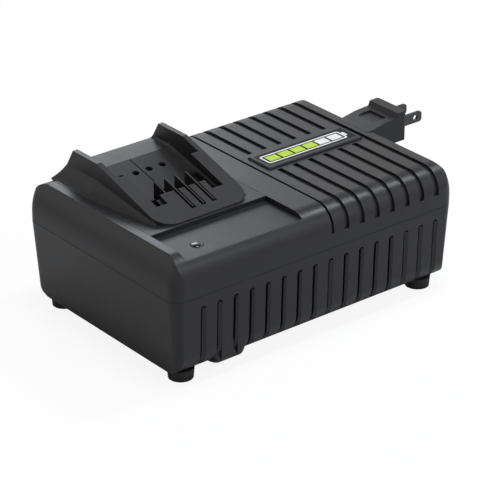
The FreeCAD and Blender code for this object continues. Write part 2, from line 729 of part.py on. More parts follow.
# Electronics: a board on four posts with the parts a switched charger needs.
board = box("board_sheet", "board_left", "board_front", "board_height",
            "body_length - board_left - board_right_gap",
            "body_width - board_front - board_back_gap", "board_thickness")
board_ways = [rod("board_way_%d" % i, x, y, "board_height - 1", "1.6", "5")
              for i, (x, y) in enumerate(board_holes)]
node("circuit_board", less("circuit_board", board, joined("board_ways", board_ways)))
board_screws = []
for i, (x, y) in enumerate(board_holes):
    head = rod("board_screw_head_%d" % i, x, y, "board_height + board_thickness", "2.6", "1.8")
    shank = rod("board_screw_shank_%d" % i, x, y, "board_height + board_thickness - 6", "1.0", "6.5")
    board_screws.append(joined("board_screw_%d" % i, [head, shank]))
node("board_screws", group("board_screws", board_screws))

deck_z = "board_height + board_thickness"


def standing(label, x, y, length, width, height, rise="0"):
    """A block-shaped part standing on the board."""
    return box(label, "board_left + %s" % x, "board_front + %s" % y, deck_z + " + " + rise,
               str(length), str(width), str(height))


core = standing("core_block", 90, 30, 34, 30, 30)
core_ways = [standing("core_way_front", 96, 29, 22, 8, 20, "5"),
             standing("core_way_back", 96, 53, 22, 8, 20, "5"),
             standing("core_way_left", 96, 36, 5, 18, 20, "5"),
             standing("core_way_right", 113, 36, 5, 18, 20, "5")]
node("transformer_core", less("transformer_core", core, joined("core_ways", core_ways)))
bobbin = standing("bobbin_block", 96.2, 30.5, 21.6, 29, 19.6, "5.2")
leg = standing("bobbin_leg_way", 100.8, 36.8, 12.4, 16.4, 40, "0")
node("transformer_winding", less("transformer_winding", bobbin, leg))

for label, x in (("primary_heatsink", 132), ("output_heatsink", 76)):
    fins = [standing(label + "_web", x, 16, 2.5, 60, 32)]
    for k in range(6):
        fins.append(standing("%s_fin_%d" % (label, k), x + 2, 18 + 10.5 * k, 7, 2, 32))
    node(label, joined(label, fins))
node("power_transistor", standing("power_transistor", 127.3, 40, 4.6, 10.2, 18, "6"))
node("output_rectifier", standing("output_rectifier", 71.3, 40, 4.6, 10.2, 18, "6"))
node("main_capacitor", rod("main_capacitor_can", "board_left + 112", "board_front + 16", deck_z,
                           "10", "34"))
small_cans = [rod("output_can_%d" % k, "board_left + 58", "board_front + %s" % (24 + 15 * k),
                  deck_z, "6", "22") for k in range(3)]
node("output_capacitors", group("output_capacitors", small_cans))
choke = doc.addObject("Part::Torus", "line_choke_ring")
choke.Radius1 = 8
choke.Radius2 = 4
bind(choke, Placement_base_x="board_left + 112", Placement_base_y="board_front + 78",
     Placement_base_z=deck_z + " + 4")
node("line_choke", choke)
node("line_fuse", rod("line_fuse_tube", "board_left + 84", "board_front + 8", deck_z + " + 3.1",
                      "3", "20", "x"))

# Indicator: a light pipe from the lamp on its own post up to the pocket floor.
pocket_floor = "top_height - pocket_depth"
lens_stem = rod("lens_stem", "led_place_x", "led_place_y", "top_height - cradle_depth - 6", "lens_radius",
                pocket_floor + " - top_height + cradle_depth + 6")
lens_crown = doc.addObject("Part::Cone", "lens_crown")
bind(lens_crown, Radius1="lens_radius", Radius2="lens_radius - 1", Height="1")
bind(lens_crown, Placement_base_x="led_place_x", Placement_base_y="led_place_y",
     Placement_base_z=pocket_floor)
node("indicator_lens", joined("indicator_lens", [lens_stem, lens_crown]))

# Every object must be sound before any file is written.
doc.recompute()
for thing in doc.Objects:
    if "Invalid" in thing.State or "Error" in thing.State:
        raise RuntimeError("not built: " + thing.Name + " " + thing.getStatusString())
os.makedirs("parts", exist_ok=True)
for label, piece in nodes.items():
    shape = piece.Shape
    if shape.isNull() or not shape.isValid():
        raise RuntimeError("no sound shape: " + label)
for label, piece in nodes.items():
    piece.Shape.exportStep("parts/%s.step" % label)
    print("%-22s %6.1f cm3 %3d solids" % (label, piece.Shape.Volume / 1000, len(piece.Shape.Solids)))
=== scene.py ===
import bpy
import math
import numpy as np
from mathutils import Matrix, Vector


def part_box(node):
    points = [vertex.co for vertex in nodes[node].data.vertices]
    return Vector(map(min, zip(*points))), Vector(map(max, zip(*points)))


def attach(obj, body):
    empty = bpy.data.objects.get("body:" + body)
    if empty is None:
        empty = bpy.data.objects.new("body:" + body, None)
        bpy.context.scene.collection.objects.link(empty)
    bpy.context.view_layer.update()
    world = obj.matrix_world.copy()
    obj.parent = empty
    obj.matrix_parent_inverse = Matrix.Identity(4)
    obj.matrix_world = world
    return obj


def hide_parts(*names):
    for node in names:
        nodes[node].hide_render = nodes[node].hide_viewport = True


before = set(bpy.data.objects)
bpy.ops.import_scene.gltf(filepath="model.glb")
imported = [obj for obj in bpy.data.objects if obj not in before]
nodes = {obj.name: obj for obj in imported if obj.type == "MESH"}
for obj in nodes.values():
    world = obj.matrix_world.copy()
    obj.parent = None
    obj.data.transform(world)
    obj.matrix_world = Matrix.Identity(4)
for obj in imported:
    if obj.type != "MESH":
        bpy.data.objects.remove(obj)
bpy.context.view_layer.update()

# Casing shells
# Two injection-moulded halves in dark grey glass-filled plastic, spark-eroded to a
# fine satin grain in the mould, screwed together from below along one seam.
MM = 0.001
CASING_COLOUR = (0.0140, 0.0140, 0.0155, 1)
SOFT_EDGE = 0.28 * MM
SPECULAR = 0.36
GRAIN_DEPTH = 0.2 * MM
GLOSS_RANGE = 0.035


def new_group(name, inputs, outputs):
    """A shader node group with named sockets: (name, kind, value) in, (name, kind) out."""
    group = bpy.data.node_groups.new(name, "ShaderNodeTree")
    for title, kind, value in inputs:
        socket = group.interface.new_socket(title, in_out="INPUT",
                                            socket_type="NodeSocket" + kind)
        socket.default_value = value
    for title, kind in outputs:
        group.interface.new_socket(title, in_out="OUTPUT", socket_type="NodeSocket" + kind)
    return group, group.nodes.new("NodeGroupInput"), group.nodes.new("NodeGroupOutput")


def noise(tree, vector, scale, detail=3.0, rough=0.55):
    """Fractal noise read at Object coordinates, in cycles per metre."""
    node = tree.nodes.new("ShaderNodeTexNoise")
    node.inputs["Scale"].default_value = scale
    node.inputs["Detail"].default_value = detail
    node.inputs["Roughness"].default_value = rough
    tree.links.new(vector, node.inputs["Vector"])
    return node.outputs["Fac"]


def spread(tree, value, low, high, to_low, to_high):
    """A value carried from one range to another, without overshoot."""
    node = tree.nodes.new("ShaderNodeMapRange")
    for title, number in (("From Min", low), ("From Max", high),
                          ("To Min", to_low), ("To Max", to_high)):
        socket = node.inputs[title]
        if isinstance(number, (int, float)):
            socket.default_value = number
        else:
            tree.links.new(number, socket)
    tree.links.new(value, node.inputs["Value"])
    return node.outputs["Result"]


def tinted(tree, colour, factor):
    """A colour made lighter or darker: each channel times the factor."""
    node = tree.nodes.new("ShaderNodeVectorMath")
    node.operation = "SCALE"
    tree.links.new(colour, node.inputs[0])
    tree.links.new(factor, node.inputs["Scale"])
    return node.outputs["Vector"]


def moulded_grain():
    """Spark-eroded mould grain: fine pits for height, broad cloudy gloss, faint dust on top.

    height = fine noise + 0.4 * streak noise; roughness = base, plus or minus the gloss range
    with the cloud; colour = base * (1 + tone * cloud) + dust where the surface faces up.
    """
    group, given, out = new_group(
        "moulded_grain",
        [("Colour", "Color", (0.05, 0.05, 0.05, 1)), ("Roughness", "Float", 0.42),
         ("Grain", "Float", 2600.0), ("Tone", "Float", 0.10), ("Dust", "Float", 0.004)],
        [("Colour", "Color"), ("Roughness", "Float"), ("Height", "Float")])
    place = group.nodes.new("ShaderNodeTexCoord").outputs["Object"]
    fine = group.nodes.new("ShaderNodeTexNoise")
    fine.inputs["Detail"].default_value = 2.0
    group.links.new(place, fine.inputs["Vector"])
    group.links.new(given.outputs["Grain"], fine.inputs["Scale"])
    cloud = noise(group, place, 38.0, 4.0)
    streak = noise(group, place, 210.0, 2.0)
    low = group.nodes.new("ShaderNodeMath")
    low.operation = "MULTIPLY_ADD"
    low.inputs[2].default_value = 1.0
    low.inputs[1].default_value = -0.5
    group.links.new(given.outputs["Tone"], low.inputs[0])
    high = group.nodes.new("ShaderNodeMath")
    high.operation = "MULTIPLY_ADD"
    high.inputs[2].default_value = 1.0
    high.inputs[1].default_value = 0.5
    group.links.new(given.outputs["Tone"], high.inputs[0])
    tone = spread(group, cloud, 0.3, 0.7, low.outputs[0], high.outputs[0])
    body = tinted(group, given.outputs["Colour"], tone)
    facing = group.nodes.new("ShaderNodeNewGeometry").outputs["Normal"]
    split = group.nodes.new("ShaderNodeSeparateXYZ")
    group.links.new(facing, split.inputs[0])
    up = spread(group, split.outputs["Z"], 0.6, 1.0, 0.0, given.outputs["Dust"])
    flecks = spread(group, streak, 0.45, 0.75, 0.2, 1.0)
    dust = group.nodes.new("ShaderNodeMath")
    dust.operation = "MULTIPLY"
    group.links.new(up, dust.inputs[0])
    group.links.new(flecks, dust.inputs[1])
    settled = group.nodes.new("ShaderNodeVectorMath")
    settled.operation = "ADD"
    group.links.new(body, settled.inputs[0])
    group.links.new(dust.outputs[0], settled.inputs[1])
    group.links.new(settled.outputs["Vector"], out.inputs["Colour"])
    rough_low = group.nodes.new("ShaderNodeMath")
    rough_low.operation = "SUBTRACT"
    rough_low.inputs[1].default_value = GLOSS_RANGE
    group.links.new(given.outputs["Roughness"], rough_low.inputs[0])
    rough_high = group.nodes.new("ShaderNodeMath")
    rough_high.operation = "ADD"
    rough_high.inputs[1].default_value = GLOSS_RANGE
    group.links.new(given.outputs["Roughness"], rough_high.inputs[0])
    gloss = spread(group, cloud, 0.3, 0.7, rough_low.outputs[0], rough_high.outputs[0])
    group.links.new(gloss, out.inputs["Roughness"])
    height = group.nodes.new("ShaderNodeMath")
    height.operation = "MULTIPLY_ADD"
    height.inputs[1].default_value = 0.4
    group.links.new(streak, height.inputs[0])
    group.links.new(fine.outputs["Fac"], height.inputs[2])
    group.links.new(height.outputs[0], out.inputs["Height"])
    return group


GRAIN = moulded_grain()


def new_material(name):
    """An empty material with a Principled shader: (material, tree, shader)."""
    material = bpy.data.materials.new(name)
    material.use_nodes = True
    tree = material.node_tree
    return material, tree, tree.nodes["Principled BSDF"]


def moulded(name, colour, roughness, grain=2600.0, tone=0.10, dust=0.003, bump=0.05, coat=0.0):
    """A moulded plastic or rubber: the grain group with this piece's own values, over
    edges that are shaded as if broken to a small radius."""
    material, tree, shader = new_material(name)
    skin = tree.nodes.new("ShaderNodeGroup")
    skin.node_tree = GRAIN
    for title, value in (("Colour", colour), ("Roughness", roughness), ("Grain", grain),
                         ("Tone", tone), ("Dust", dust)):
        skin.inputs[title].default_value = value
    edges = tree.nodes.new("ShaderNodeBevel")
    edges.samples = 4
    edges.inputs["Radius"].default_value = SOFT_EDGE
    relief = tree.nodes.new("ShaderNodeBump")
    relief.inputs["Strength"].default_value = bump
    relief.inputs["Distance"].default_value = GRAIN_DEPTH
    tree.links.new(edges.outputs["Normal"], relief.inputs["Normal"])
    tree.links.new(skin.outputs["Colour"], shader.inputs["Base Color"])
    tree.links.new(skin.outputs["Roughness"], shader.inputs["Roughness"])
    tree.links.new(skin.outputs["Height"], relief.inputs["Height"])
    tree.links.new(relief.outputs["Normal"], shader.inputs["Normal"])
    shader.inputs["Specular IOR Level"].default_value = SPECULAR
    shader.inputs["Coat Weight"].default_value = coat
    shader.inputs["Coat Roughness"].default_value = 0.2
    return material


def dress(material, *names):
    """Gives CAD nodes a material in place of their plain one."""
    for name in names:
        mesh = nodes[name].data
        mesh.materials.clear()
        mesh.materials.append(material)


casing = moulded("casing_plastic", CASING_COLOUR, 0.38)
dress(casing, "lower_housing", "upper_housing")

# Vent louvres
# In the right part of each slot the wall carries on as a ramp, so that the way through
# an open one is a narrow gap that a finger can't reach into, and a blind one is a scoop.
OPEN_RAMP = (1.25 * MM, 0.85 * MM, 2.45 * MM)
BLIND_RAMP = (1.9 * MM, 1.0 * MM, 1.45 * MM)
RAMP_LIP = 0.06 * MM
RAMP_FOOT = 8.4 * MM
RAMP_TOP = 43.6 * MM
RAMP_LEVELS = 24
SLOT_FIRST = 18.4 * MM
SLOT_PITCH = 10.74 * MM
SLOT_WIDTH = 3.4 * MM
WALL_LEAN = 1.2 * MM
BOTTOM_ROUND = 12 * MM
BASE = 6 * MM
SEAM = 51 * MM
shell_low, shell_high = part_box("lower_housing")


def wall_inset(z):
    """How far the outer wall stands in at a height: lean * (seam - z) / rise below the
    seam, plus round - sqrt(round^2 - (round - (z - base))^2) over the bottom rounding."""
    lean = WALL_LEAN * (SEAM - z) / (SEAM - BASE)
    drop = np.clip(BOTTOM_ROUND - (z - BASE), 0, BOTTOM_ROUND)
    return lean + BOTTOM_ROUND - np.sqrt(BOTTOM_ROUND ** 2 - drop ** 2)


def plain_piece(name, points, faces, material):
    """A mesh from its points and faces, riding with the body."""
    mesh = bpy.data.meshes.new(name)
    mesh.from_pydata(points, [], faces)
    mesh.materials.append(material)
    piece = bpy.data.objects.new(name, mesh)
    bpy.context.scene.collection.objects.link(piece)
    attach(piece, "root")
    return piece


def louvre_row(name, numbers, edge, inward, ramp):
    """A row of upright ramps that follow the wall, flush at the slot's right side.

    Corner k of a ramp: x = right - width_k, y = edge + inward * (inset(z) + depth_k), at
    even heights from the foot of the slots to their top.
    """
    width, depth, back = ramp
    heights = np.linspace(RAMP_FOOT, RAMP_TOP, RAMP_LEVELS)
    corners = ((width, depth), (0.0, RAMP_LIP), (0.0, back), (width, back))
    points = []
    faces = []
    row = np.arange(RAMP_LEVELS - 1)[:, None] * 4
    side = np.arange(4)
    turn = (side + 1) % 4
    quads = np.stack([row + side, row + turn, row + 4 + turn, row + 4 + side], axis=-1)
    loops = np.vstack([quads.reshape(-1, 4), side[::-1], row[-1] + 4 + side])
    for count, number in enumerate(numbers):
        right = shell_low.x + SLOT_FIRST + number * SLOT_PITCH + SLOT_WIDTH / 2
        points.append(np.stack([np.column_stack([
            np.full(RAMP_LEVELS, right - across),
            edge + inward * (wall_inset(heights) + inside), heights])
            for across, inside in corners], axis=1).reshape(-1, 3))
        faces.append((loops if inward > 0 else loops[:, ::-1]) + 4 * RAMP_LEVELS * count)
    plain_piece(name, np.vstack(points).tolist(), np.vstack(faces).tolist(), casing)


OPEN_SLOTS = (2, 3, 4, 5, 6, 7, 9, 10, 11, 12)
BLIND_SLOTS = (0, 1, 8, 13, 14, 15)
louvre_row("vent_louvres_front", OPEN_SLOTS, shell_low.y, 1, OPEN_RAMP)
louvre_row("vent_louvres_back", OPEN_SLOTS, shell_high.y, -1, OPEN_RAMP)
louvre_row("blind_scoops_front", BLIND_SLOTS, shell_low.y, 1, BLIND_RAMP)
louvre_row("blind_scoops_back", BLIND_SLOTS, shell_high.y, -1, BLIND_RAMP)

# Front lug
# A lug moulded under the front edge between two feet, cut by the same slots as the
# wall: the lower housing's bottom rounding is small there and full on both sides.
LUG_LEFT = 27.5 * MM
LUG_RIGHT = 47.0 * MM
LUG_ROUND = 4 * MM
LUG_END = 3 * MM
LUG_SLOTS = (1, 2)
LUG_TOP = 17.9 * MM
LUG_BELLY = 9.0 * MM
LUG_PROUD = 0.05 * MM
GROOVE = 1.5 * MM
GROOVE_FOOT = 8.0 * MM
GROOVE_FADE = 3.0 * MM
GROOVE_WALL = 0.03 * MM
INSIDE_WALL = 0.3 * MM


def front_lug():
    """The wall's own outline with a small bottom radius, lofted along x and closed inside.

    y = edge + lean + r - sqrt(r^2 - (r - (z - base))^2) + groove in a slot, where r goes from
    the lug's radius to the wall's at its ends as a quarter circle, and the groove fades out
    towards the foot.
    """
    slots = [SLOT_FIRST + number * SLOT_PITCH for number in LUG_SLOTS]
    cuts = [place + side * (SLOT_WIDTH / 2 + step) for place in slots
            for side in (-1, 1) for step in (-GROOVE_WALL, GROOVE_WALL)]
    ends = LUG_END * (1 - np.cos(np.linspace(0, np.pi / 2, 8)))
    along = np.unique(np.concatenate([LUG_LEFT + ends, LUG_RIGHT - ends, cuts]))
    heights = np.concatenate([np.linspace(LUG_TOP, LUG_BELLY, 14),
                              np.linspace(RAMP_FOOT, BASE, 12)])
    near = np.clip(1 - np.minimum(along - LUG_LEFT, LUG_RIGHT - along) / LUG_END, 0, 1)
    radius = LUG_ROUND + (BOTTOM_ROUND - LUG_ROUND) * (1 - np.sqrt(1 - near ** 2))
    groove = np.where([min(abs(place - at) for at in slots) < SLOT_WIDTH / 2 for place in along],
                      GROOVE, 0.0)
    lean = WALL_LEAN * (SEAM - heights) / (SEAM - BASE)
    drop = np.clip(radius[:, None] - (heights - BASE)[None, :], 0, radius[:, None])
    fade = np.clip((heights - GROOVE_FOOT) / GROOVE_FADE, 0, 1)
    outer = lean + radius[:, None] - np.sqrt(radius[:, None] ** 2 - drop ** 2)
    outer = outer + groove[:, None] * fade[None, :]
    inner = wall_inset(heights[::-1]) + GROOVE + INSIDE_WALL
    count = len(heights)
    ring = np.zeros((len(along), 2 * count, 3))
    ring[:, :, 0] = shell_low.x + along[:, None]
    ring[:, :count, 1] = shell_low.y + np.minimum(outer, wall_inset(heights) + GROOVE)
    ring[:, count:, 1] = shell_low.y + inner
    ring[:, :, 2] = np.concatenate([heights, heights[::-1]]) - LUG_PROUD
    around = 2 * count
    step = np.arange(len(along) - 1)[:, None] * around
    side = np.arange(around)
    turn = (side + 1) % around
    quads = np.stack([step + side, step + turn, step + around + turn, step + around + side],
                     axis=-1)
    faces = quads.reshape(-1, 4).tolist()
    faces += [side[::-1].tolist(), (side + step[-1] + around).tolist()]
    plain_piece("front_lug", ring.reshape(-1, 3).tolist(), faces, casing)


front_lug()

# Dock cradle
# A separate moulding let into the top shell: a sloping wedge between two tall fins,
# with undercut rails for the battery and an apron slit for the terminals.
CRADLE_COLOUR = (0.0140, 0.0140, 0.0152, 1)
cradle = moulded("cradle_plastic", CRADLE_COLOUR, 0.44, tone=0.08)
dress(cradle, "dock_cradle")

# Terminal block
# A black carrier of flame-proof plastic that holds the four blades. It sits under the
# apron of the cradle and is seen only through the slits.
carrier = moulded("carrier_plastic", (0.012, 0.012, 0.012, 1), 0.5, dust=0.002)
dress(carrier, "terminal_block")


# Terminals and mains blades
# Blades blanked from spring bronze and from brass strip under a dark nickel finish,
# with the fine long scratches that rolling and plugging leave. The terminals are coloured
# darker still than the blades: painted shade of the slits they stand in.
SCRATCH_DEPTH = 0.1 * MM


def rolled_metal():
    """Long fine scratches along one axis: noise on coordinates that are squeezed along it."""
    group, given, out = new_group(
        "rolled_metal",
        [("Colour", "Color", (0.7, 0.7, 0.7, 1)), ("Roughness", "Float", 0.3),
         ("Stretch", "Vector", (0.04, 1.0, 1.0))],
        [("Colour", "Color"), ("Roughness", "Float"), ("Height", "Float")])
    place = group.nodes.new("ShaderNodeTexCoord").outputs["Object"]
    squeeze = group.nodes.new("ShaderNodeVectorMath")
    squeeze.operation = "MULTIPLY"
    group.links.new(place, squeeze.inputs[0])
    group.links.new(given.outputs["Stretch"], squeeze.inputs[1])
    lines = noise(group, squeeze.outputs["Vector"], 5200.0, 3.0)
    cloud = noise(group, place, 160.0, 3.0)
    tone = spread(group, cloud, 0.3, 0.7, 0.86, 1.04)
    group.links.new(tinted(group, given.outputs["Colour"], tone), out.inputs["Colour"])
    gloss = group.nodes.new("ShaderNodeMath")
    gloss.operation = "MULTIPLY_ADD"
    gloss.inputs[1].default_value = 0.16
    group.links.new(lines, gloss.inputs[0])
    group.links.new(given.outputs["Roughness"], gloss.inputs[2])
    group.links.new(gloss.outputs[0], out.inputs["Roughness"])
    group.links.new(lines, out.inputs["Height"])
    return group


ROLLED = rolled_metal()


def metal(name, colour, roughness, stretch=(0.04, 1.0, 1.0), bump=0.06):
    """A bare or plated metal: the scratch group with this piece's own values."""
    material, tree, shader = new_material(name)
    skin = tree.nodes.new("ShaderNodeGroup")
    skin.node_tree = ROLLED
    skin.inputs["Colour"].default_value = colour
    skin.inputs["Roughness"].default_value = roughness
    skin.inputs["Stretch"].default_value = stretch
    relief = tree.nodes.new("ShaderNodeBump")
    relief.inputs["Strength"].default_value = bump
    relief.inputs["Distance"].default_value = SCRATCH_DEPTH
    tree.links.new(skin.outputs["Colour"], shader.inputs["Base Color"])
    tree.links.new(skin.outputs["Roughness"], shader.inputs["Roughness"])
    tree.links.new(skin.outputs["Height"], relief.inputs["Height"])
    tree.links.new(relief.outputs["Normal"], shader.inputs["Normal"])
    shader.inputs["Metallic"].default_value = 1.0
    return material


# Terminal colour darker than the blades': painted shade of the cradle's slits.
dress(metal("terminal_plating", (0.060, 0.059, 0.057, 1), 0.42, (1.0, 0.04, 1.0)),
      "terminal_negative", "terminal_signal", "terminal_thermistor", "terminal_positive")
dress(metal("blade_plating", (0.085, 0.085, 0.088, 1), 0.40),
      "plug_blade_line", "plug_blade_neutral")

# Badge
# A low moulded plate snapped into its bed in the lid, with a thin printed film
# let into it. The print is a plain battery sign and charge bars, with no words.
badge_plastic = moulded("badge_plastic", (0.013, 0.013, 0.014, 1), 0.36)
dress(badge_plastic, "badge_plate")
FILM_SPECULAR = 0.10
film = moulded("badge_film", (0.004, 0.004, 0.005, 1), 0.40, grain=1500.0, tone=0.05,
               dust=0.0, bump=0.02)
film.node_tree.nodes["Principled BSDF"].inputs["Specular IOR Level"].default_value = FILM_SPECULAR
dress(film, "badge_inlay")
inlay_low, inlay_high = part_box("badge_inlay")
PRINT_THICKNESS = 0.06 * MM


def ink(name, colour):
    """Screen-printed ink: flat colour, slightly mottled, satin."""
    return moulded(name, colour, 0.52, grain=1800.0, tone=0.12, dust=0.0, bump=0.03)


def printed(name, loop, material):
    """A flat print: a closed loop carried up by the print's thickness and capped.

    Side points are (x, y, z0 + k * thickness) for k = 0 and 1.
    """
    loop = np.asarray(loop, float)
    count = len(loop)
    low = np.column_stack([loop, np.full(count, inlay_high.z)])
    high = low + (0, 0, PRINT_THICKNESS)
    index = np.arange(count)
    after = (index + 1) % count
    sides = np.column_stack([index, after, after + count, index + count]).tolist()
    faces = sides + [(index + count).tolist(), index[::-1].tolist()]
    plain_piece(name, np.vstack([low, high]).tolist(), faces, material)


def rounded(left, front, length, depth, radius, steps=6):
    """A rectangle with round corners, anticlockwise.

    Corner k turns from k * 90 degrees: centre + radius * (cos t, sin t).
    """
    turn = np.linspace(0, np.pi / 2, steps)
    angles = (np.arange(4)[:, None] * np.pi / 2 + turn[None, :]).ravel()
    sides = np.repeat([[1, 1], [0, 1], [0, 0], [1, 0]], steps, axis=0)
    centre = np.array([left + radius, front + radius]) + sides * (length - 2 * radius,
                                                                   depth - 2 * radius)
    return centre + radius * np.column_stack([np.cos(angles), np.sin(angles)])


def flat_ring(name, outer, inner, base, rise, material):
    """A flat ring: the strip between two loops of equal count, raised and closed."""
    count = len(outer)
    flat = np.vstack([outer, inner])
    low = np.column_stack([flat, np.full(2 * count, base)])
    points = np.vstack([low, low + (0, 0, rise)])
    i = np.arange(count)
    j = (i + 1) % count
    top = 2 * count
    faces = np.vstack([
        np.column_stack([i, j, j + top, i + top]),
        np.column_stack([j + count, i + count, i + count + top, j + count + top]),
        np.column_stack([i + top, j + top, j + count + top, i + count + top]),
        np.column_stack([j, i, i + count, j + count])])
    plain_piece(name, points.tolist(), faces.tolist(), material)


def bar_corners(left, front, length, depth):
    """Corners of a bar, anticlockwise: x = left + u * length, y = front + v * depth."""
    u = np.array([0, 1, 1, 0.0])
    v = np.array([0, 0, 1, 1.0])
    return np.column_stack([left + u * length, front + v * depth])


lime = ink("lime_ink", (0.42, 0.60, 0.02, 1))
white = ink("white_ink", (0.74, 0.74, 0.74, 1))
RING = 1.1 * MM
CELL_MARGIN = 1.9 * MM
CELL_ROUND = 1.6 * MM
CELL_INNER_ROUND = 0.6 * MM
POLE_ROOM = 2.4 * MM
POLE_GAP = 0.25 * MM
POLE_LENGTH = 1.7 * MM
POLE_ROUND = 0.5 * MM
POLE_SHARE = 0.44
cell_left = inlay_low.x + CELL_MARGIN
cell_front = inlay_low.y + CELL_MARGIN
cell_length = inlay_high.x - inlay_low.x - 2 * CELL_MARGIN - POLE_ROOM
cell_depth = inlay_high.y - inlay_low.y - 2 * CELL_MARGIN
flat_ring("badge_cell", rounded(cell_left, cell_front, cell_length, cell_depth, CELL_ROUND),
          rounded(cell_left + RING, cell_front + RING, cell_length - 2 * RING,
                  cell_depth - 2 * RING, CELL_INNER_ROUND),
          inlay_high.z, PRINT_THICKNESS, white)
printed("badge_cell_pole", rounded(cell_left + cell_length + POLE_GAP,
                                   cell_front + cell_depth * (1 - POLE_SHARE) / 2,
                                   POLE_LENGTH, cell_depth * POLE_SHARE, POLE_ROUND), white)
BAR_COUNT = 6
LIME_BARS = 4
BAR_GAP = 1.3 * MM
BAR_MARGIN = 0.9 * MM
bar_left = cell_left + RING + BAR_GAP
bar_pitch = (cell_length - 2 * RING - BAR_GAP) / BAR_COUNT
bar_depth = cell_depth - 2 * RING - 2 * BAR_MARGIN
for number in range(BAR_COUNT):
    bar = bar_corners(bar_left + number * bar_pitch, cell_front + RING + BAR_MARGIN,
                      bar_pitch - BAR_GAP, bar_depth)
    printed("badge_bar_%d" % (number + 1), bar, lime if number < LIME_BARS else white)

# Seam
# A thin near-black ring where the two shells meet, flush with the casing and a little
# wide inward: painted shadow of the gap between them, seen as a fine dark line all round the
# casing.
SEAM_RISE = 0.32 * MM
SEAM_CORNER = 6.5 * MM
SEAM_SHADOW_REACH = 1.0 * MM
SEAM_STEPS = 16
# Near-black colour: painted shadow of the seam's gap.
seam_painted_shadow = moulded("seam_shadow", (0.003, 0.003, 0.003, 1), 0.7, dust=0.0, bump=0.02)
seam_size = shell_high - shell_low
flat_ring("seam_line", rounded(shell_low.x, shell_low.y, seam_size.x, seam_size.y,
                               SEAM_CORNER, SEAM_STEPS),
          rounded(shell_low.x + SEAM_SHADOW_REACH, shell_low.y + SEAM_SHADOW_REACH, seam_size.x - 2 * SEAM_SHADOW_REACH,
                  seam_size.y - 2 * SEAM_SHADOW_REACH, SEAM_CORNER - SEAM_SHADOW_REACH, SEAM_STEPS),
          SEAM - SEAM_RISE / 2, SEAM_RISE, seam_painted_shadow)

# Mains plug
# A rigid plug moulded in the same plastic and held between the shells. Its flange is
# what the fingers grip, and its edges are softer than those of the shells. It is coloured
# darker than the shells: painted shade on its sides.
PLUG_EDGE = 0.55 * MM
# Colour darker than the casing's: painted shade.
plug = moulded("plug_plastic", (0.0085, 0.0085, 0.0095, 1), 0.42)
plug.node_tree.nodes["Bevel"].inputs["Radius"].default_value = PLUG_EDGE
dress(plug, "plug_body")

# Feet
# Soft black rubber pads whose stems are pressed into the lower shell.
rubber = moulded("foot_rubber", (0.014, 0.014, 0.0145, 1), 0.60, grain=1400.0, dust=0.002,
                 bump=0.10)
dress(rubber, "foot_front_left", "foot_front_right", "foot_back_left", "foot_back_right")

# Indicator
# A smoked light pipe that carries the charging lamp's light up to the pocket floor;
# dark and glossy while the lamp is off.
lens, tree, shader = new_material("lens_plastic")
skin = tree.nodes.new("ShaderNodeGroup")
skin.node_tree = GRAIN
for title, value in (("Colour", (0.016, 0.016, 0.019, 1)), ("Roughness", 0.24), ("Tone", 0.05),
                     ("Dust", 0.0), ("Grain", 900.0)):
    skin.inputs[title].default_value = value
tree.links.new(skin.outputs["Colour"], shader.inputs["Base Color"])
tree.links.new(skin.outputs["Roughness"], shader.inputs["Roughness"])
shader.inputs["Coat Weight"].default_value = 0.25
lens_low, lens_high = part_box("indicator_lens")
lens_middle = (lens_low + lens_high) / 2
lens_radius = (lens_high.x - lens_low.x) / 2
LENS_RISE = 1.0 * MM
BEVEL_RISE = 0.35 * MM
CROWN_ANGLE = 1.1
CROWN_STEPS = 14
LENS_STEPS = 64


def lens_dome():
    """A turned light pipe: a stem, a small bevel and a spherical crown.

    Crown: r = radius * sin(t) / sin(T), z = top - rise * (1 - cos(t)) / (1 - cos(T)).
    """
    t = np.linspace(CROWN_ANGLE, 0.0, CROWN_STEPS)
    crown_radius = (lens_radius - BEVEL_RISE) * np.sin(t) / np.sin(CROWN_ANGLE)
    crown_height = (lens_high.z - (LENS_RISE - BEVEL_RISE) * (1 - np.cos(t))
                    / (1 - np.cos(CROWN_ANGLE)))
    radii = np.concatenate([[lens_radius, lens_radius], crown_radius[:-1]])
    heights = np.concatenate([[lens_low.z, lens_high.z - LENS_RISE], crown_height[:-1]])
    turns = np.linspace(0, 2 * np.pi, LENS_STEPS, endpoint=False)
    rings = np.stack([np.outer(radii, np.cos(turns)) + lens_middle.x,
                      np.outer(radii, np.sin(turns)) + lens_middle.y,
                      np.repeat(heights[:, None], LENS_STEPS, axis=1)], axis=-1)
    points = np.vstack([rings.reshape(-1, 3), [[lens_middle.x, lens_middle.y, lens_low.z],
                                               [lens_middle.x, lens_middle.y, lens_high.z]]])
    row = np.arange(len(radii) - 1)[:, None] * LENS_STEPS
    side = np.arange(LENS_STEPS)
    turn = (side + 1) % LENS_STEPS
    above = row + LENS_STEPS
    quads = np.stack([row + side, row + turn, above + turn, above + side], axis=-1)
    foot = np.full(LENS_STEPS, len(points) - 2)
    tip = np.full(LENS_STEPS, len(points) - 1)
    faces = quads.reshape(-1, 4).tolist()
    faces += np.column_stack([turn, side, foot]).tolist()
    faces += np.column_stack([above[-1] + side, above[-1] + turn, tip]).tolist()
    piece = plain_piece("indicator_dome", points.tolist(), faces, lens)
    piece.data.shade_smooth()
    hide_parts("indicator_lens")


lens_dome()

# Screws
# Zinc-plated thread-forming screws, cold-headed from steel wire. The housing's four are
# seen only down their wells in the base, the board's are inside.
dress(metal("zinc_screw", (0.46, 0.46, 0.48, 1), 0.36, (1.0, 1.0, 0.2)),
      "housing_screws", "board_screws")


